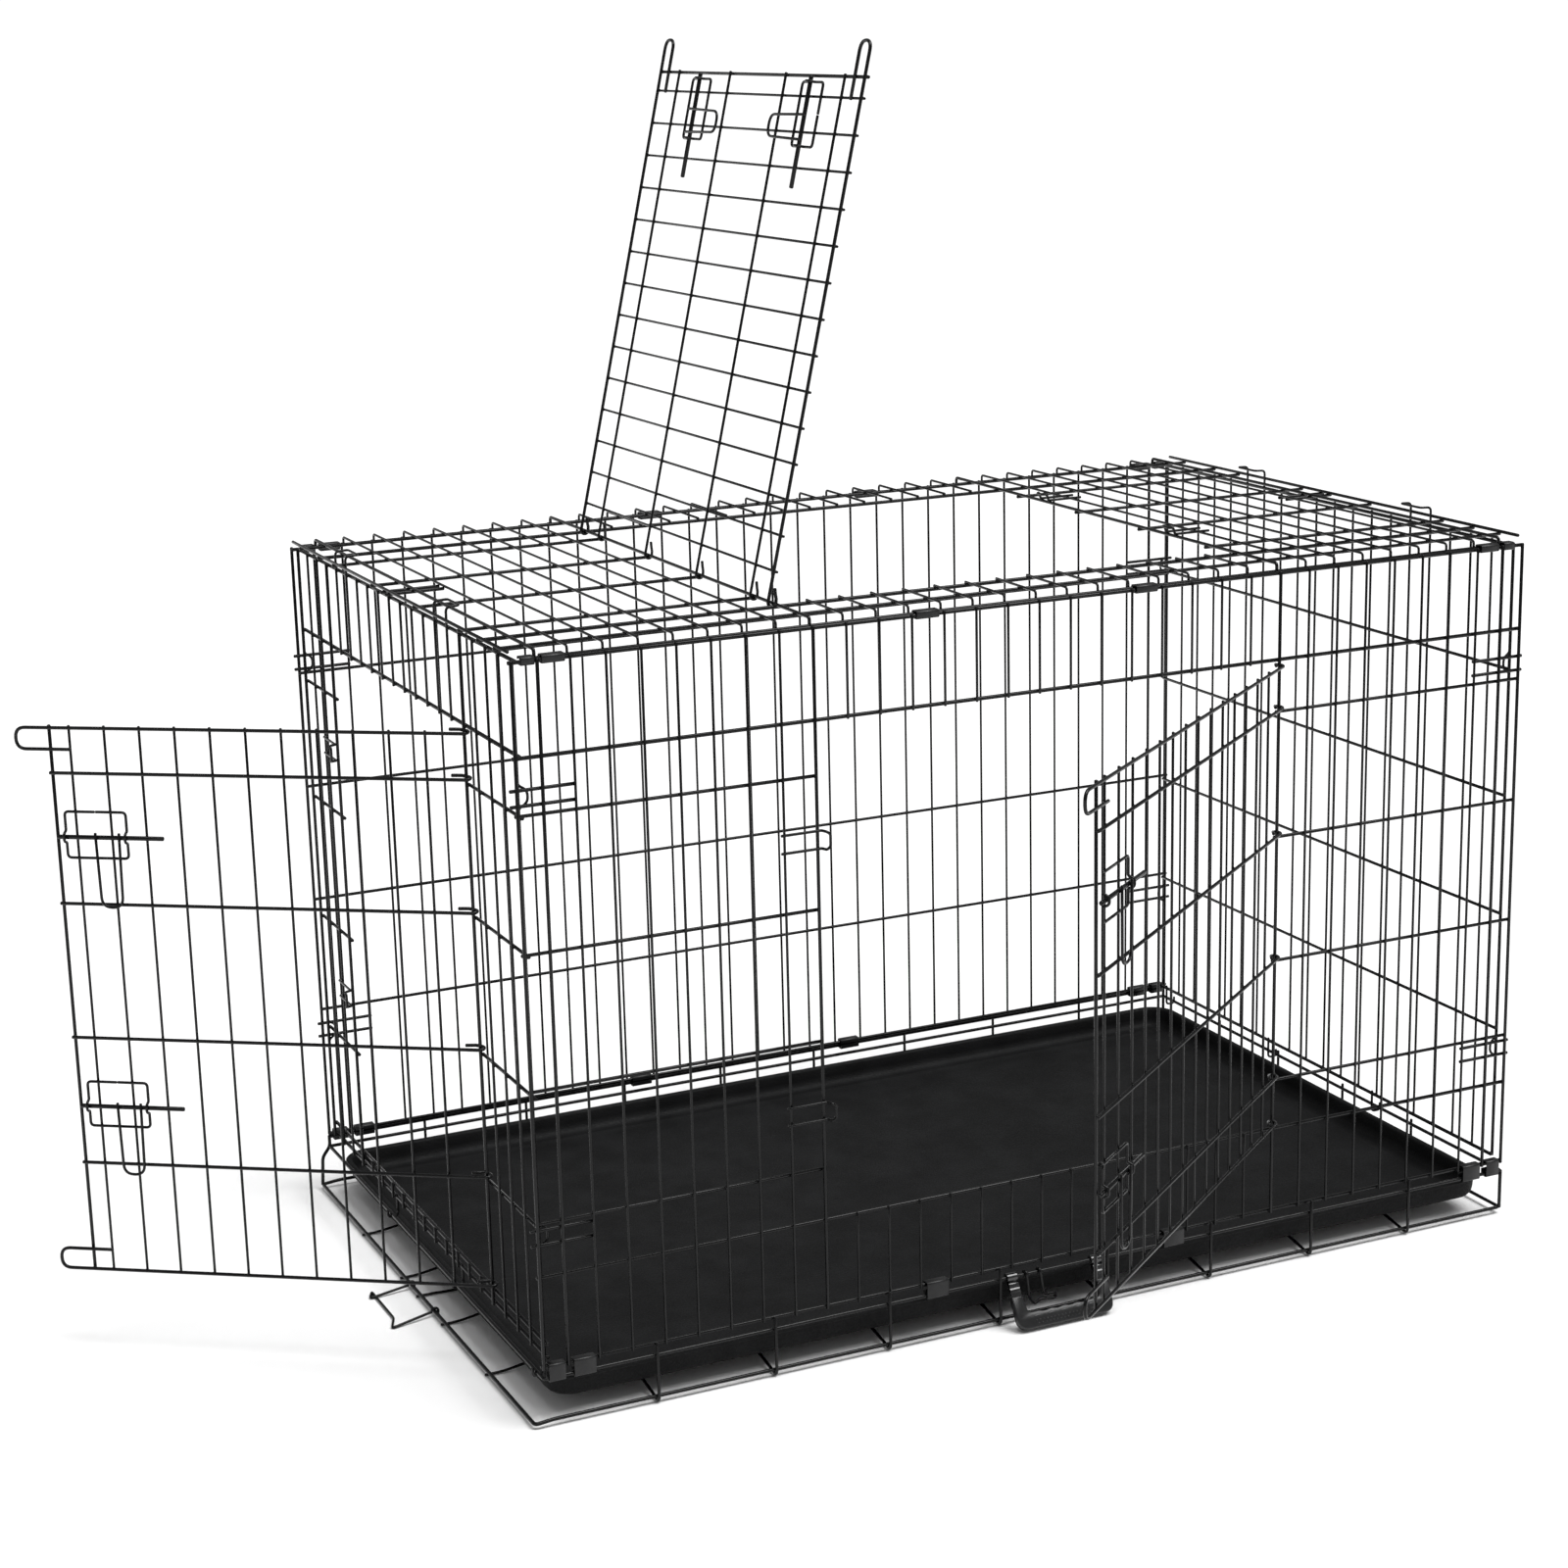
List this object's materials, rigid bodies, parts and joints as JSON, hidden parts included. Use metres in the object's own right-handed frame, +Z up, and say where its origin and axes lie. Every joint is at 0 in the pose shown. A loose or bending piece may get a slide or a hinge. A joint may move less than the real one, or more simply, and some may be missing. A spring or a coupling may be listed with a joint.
{
  "type": "wire dog crate",
  "caption": "Folding wire dog crate with front, end and top doors on wire hinges, sliding bolt latches, a slide-out plastic tray and a fold-out carry handle.",
  "frame": {"origin": "On the floor under the middle of the base, on the underside of the long wire down the middle.", "axes": "+X along the crate's long way, with the end door at -X. +Y from the front door's side to the back. +Z up."},
  "size_m": [1.6071, 1.1149, 1.3737],
  "materials": {
    "coated_wire": "satin black electro-coat on steel wire",
    "tray_plastic": "black moulded plastic with a fine grain",
    "handle_plastic": "black moulded plastic, glossy clips"
  },
  "bodies": {
    "crate": {"base_frame": "coated_wire", "front_panel": "coated_wire", "back_panel": "coated_wire", "left_panel": "coated_wire", "right_panel": "coated_wire", "top_panel": "coated_wire", "top_front_clip_1": "coated_wire", "top_front_clip_2": "coated_wire", "top_front_clip_3": "coated_wire", "top_front_clip_4": "coated_wire", "top_front_clip_5": "coated_wire", "top_front_clip_6": "coated_wire", "top_back_clip_1": "coated_wire", "top_back_clip_2": "coated_wire", "top_back_clip_3": "coated_wire", "top_back_clip_4": "coated_wire", "top_back_clip_5": "coated_wire", "top_back_clip_6": "coated_wire", "base_front_clip_1": "coated_wire", "base_front_clip_2": "coated_wire", "base_front_clip_3": "coated_wire", "base_front_clip_4": "coated_wire", "base_front_clip_5": "coated_wire", "base_front_clip_6": "coated_wire", "base_back_clip_1": "coated_wire", "base_back_clip_2": "coated_wire", "base_back_clip_3": "coated_wire", "base_back_clip_4": "coated_wire", "base_back_clip_5": "coated_wire", "base_back_clip_6": "coated_wire"},
    "tray": {"tray": "tray_plastic"},
    "front_door": {"front_door": "coated_wire", "front_door_lower_latch_guide": "coated_wire", "front_door_upper_latch_guide": "coated_wire"},
    "front_door_lower_bolt": {"front_door_lower_latch_bolt": "coated_wire"},
    "front_door_lower_pull": {"front_door_lower_latch_pull": "coated_wire"},
    "front_door_upper_bolt": {"front_door_upper_latch_bolt": "coated_wire"},
    "front_door_upper_pull": {"front_door_upper_latch_pull": "coated_wire"},
    "left_door": {"left_door": "coated_wire", "left_door_lower_latch_guide": "coated_wire", "left_door_upper_latch_guide": "coated_wire"},
    "left_door_lower_bolt": {"left_door_lower_latch_bolt": "coated_wire"},
    "left_door_lower_pull": {"left_door_lower_latch_pull": "coated_wire"},
    "left_door_upper_bolt": {"left_door_upper_latch_bolt": "coated_wire"},
    "left_door_upper_pull": {"left_door_upper_latch_pull": "coated_wire"},
    "top_door": {"top_door": "coated_wire", "top_door_lower_latch_guide": "coated_wire", "top_door_upper_latch_guide": "coated_wire"},
    "top_door_lower_bolt": {"top_door_lower_latch_bolt": "coated_wire"},
    "top_door_lower_pull": {"top_door_lower_latch_pull": "coated_wire"},
    "top_door_upper_bolt": {"top_door_upper_latch_bolt": "coated_wire"},
    "top_door_upper_pull": {"top_door_upper_latch_pull": "coated_wire"},
    "tray_stop": {"tray_stop": "coated_wire"},
    "carry_handle": {"carry_handle_grip": "handle_plastic", "carry_handle_clip_left": "handle_plastic", "carry_handle_clip_right": "handle_plastic"},
    "fold_lock_hook": {"fold_lock_hook": "coated_wire"}
  },
  "joints": [
    {"name": "front_door_hinge", "type": "hinge", "parent": "crate", "child": "front_door", "pos_m": [0.27975, -0.374, 0.435], "axis": [0, 0, 1], "range_deg": [-37.9, 127.1]},
    {"name": "front_door_lower_bolt_slide", "type": "slide", "parent": "front_door", "child": "front_door_lower_bolt", "axis": [-0.7891, -0.6143, 0], "range_m": [0, 0.03]},
    {"name": "front_door_lower_pull_turn", "type": "hinge", "parent": "front_door_lower_bolt", "child": "front_door_lower_pull", "pos_m": [-0.03201, -0.62469, 0.288], "axis": [-0.7891, -0.6143, 0], "range_deg": [0, 90]},
    {"name": "front_door_upper_bolt_slide", "type": "slide", "parent": "front_door", "child": "front_door_upper_bolt", "axis": [-0.7891, -0.6143, 0], "range_m": [0, 0.03]},
    {"name": "front_door_upper_pull_turn", "type": "hinge", "parent": "front_door_upper_bolt", "child": "front_door_upper_pull", "pos_m": [-0.03201, -0.62469, 0.582], "axis": [-0.7891, -0.6143, 0], "range_deg": [0, 90]},
    {"name": "left_door_hinge", "type": "hinge", "parent": "crate", "child": "left_door", "pos_m": [-0.5975, -0.21065, 0.4], "axis": [0, 0, 1], "range_deg": [-55.6, 109.4]},
    {"name": "left_door_lower_bolt_slide", "type": "slide", "parent": "left_door", "child": "left_door_lower_bolt", "axis": [-0.8251, 0.565, 0], "range_m": [0, 0.03]},
    {"name": "left_door_lower_pull_turn", "type": "hinge", "parent": "left_door_lower_bolt", "child": "left_door_lower_pull", "pos_m": [-0.9311, 0.01015, 0.283], "axis": [-0.8251, 0.565, 0], "range_deg": [0, 90]},
    {"name": "left_door_upper_bolt_slide", "type": "slide", "parent": "left_door", "child": "left_door_upper_bolt", "axis": [-0.8251, 0.565, 0], "range_m": [0, 0.03]},
    {"name": "left_door_upper_pull_turn", "type": "hinge", "parent": "left_door_upper_bolt", "child": "left_door_upper_pull", "pos_m": [-0.9311, 0.01015, 0.582], "axis": [-0.8251, 0.565, 0], "range_deg": [0, 90]},
    {"name": "top_door_hinge", "type": "hinge", "parent": "crate", "child": "top_door", "pos_m": [-0.27975, 0, 0.8114], "axis": [0, -1, 0], "range_deg": [-76.9, 88.1]},
    {"name": "top_door_lower_bolt_slide", "type": "slide", "parent": "top_door", "child": "top_door_lower_bolt", "axis": [0.2267, 0, 0.974], "range_m": [0, 0.03]},
    {"name": "top_door_lower_pull_turn", "type": "hinge", "parent": "top_door_lower_bolt", "child": "top_door_lower_pull", "pos_m": [-0.19521, 0.132, 1.20243], "axis": [-0.2267, 0, -0.974], "range_deg": [0, 90]},
    {"name": "top_door_upper_bolt_slide", "type": "slide", "parent": "top_door", "child": "top_door_upper_bolt", "axis": [0.2267, 0, 0.974], "range_m": [0, 0.03]},
    {"name": "top_door_upper_pull_turn", "type": "hinge", "parent": "top_door_upper_bolt", "child": "top_door_upper_pull", "pos_m": [-0.19521, -0.156, 1.20243], "axis": [0.2267, 0, 0.974], "range_deg": [0, 90]},
    {"name": "tray_slide", "type": "slide", "parent": "crate", "child": "tray", "axis": [-1, 0, 0], "range_m": [0, 0.9]},
    {"name": "tray_stop_hinge", "type": "hinge", "parent": "crate", "child": "tray_stop", "pos_m": [-0.6145, 0, 0.0058], "axis": [0, -1, 0], "range_deg": [-88, 0]},
    {"name": "carry_handle_hinge", "type": "hinge", "parent": "crate", "child": "carry_handle", "pos_m": [-0.0048, -0.37385, 0.054], "axis": [-1, 0, 0], "range_deg": [0, 95]},
    {"name": "fold_lock_hook_hinge", "type": "hinge", "parent": "crate", "child": "fold_lock_hook", "pos_m": [-0.03, -0.37385, 0.054], "axis": [-1, 0, 0], "range_deg": [0, 100]}
  ]
}
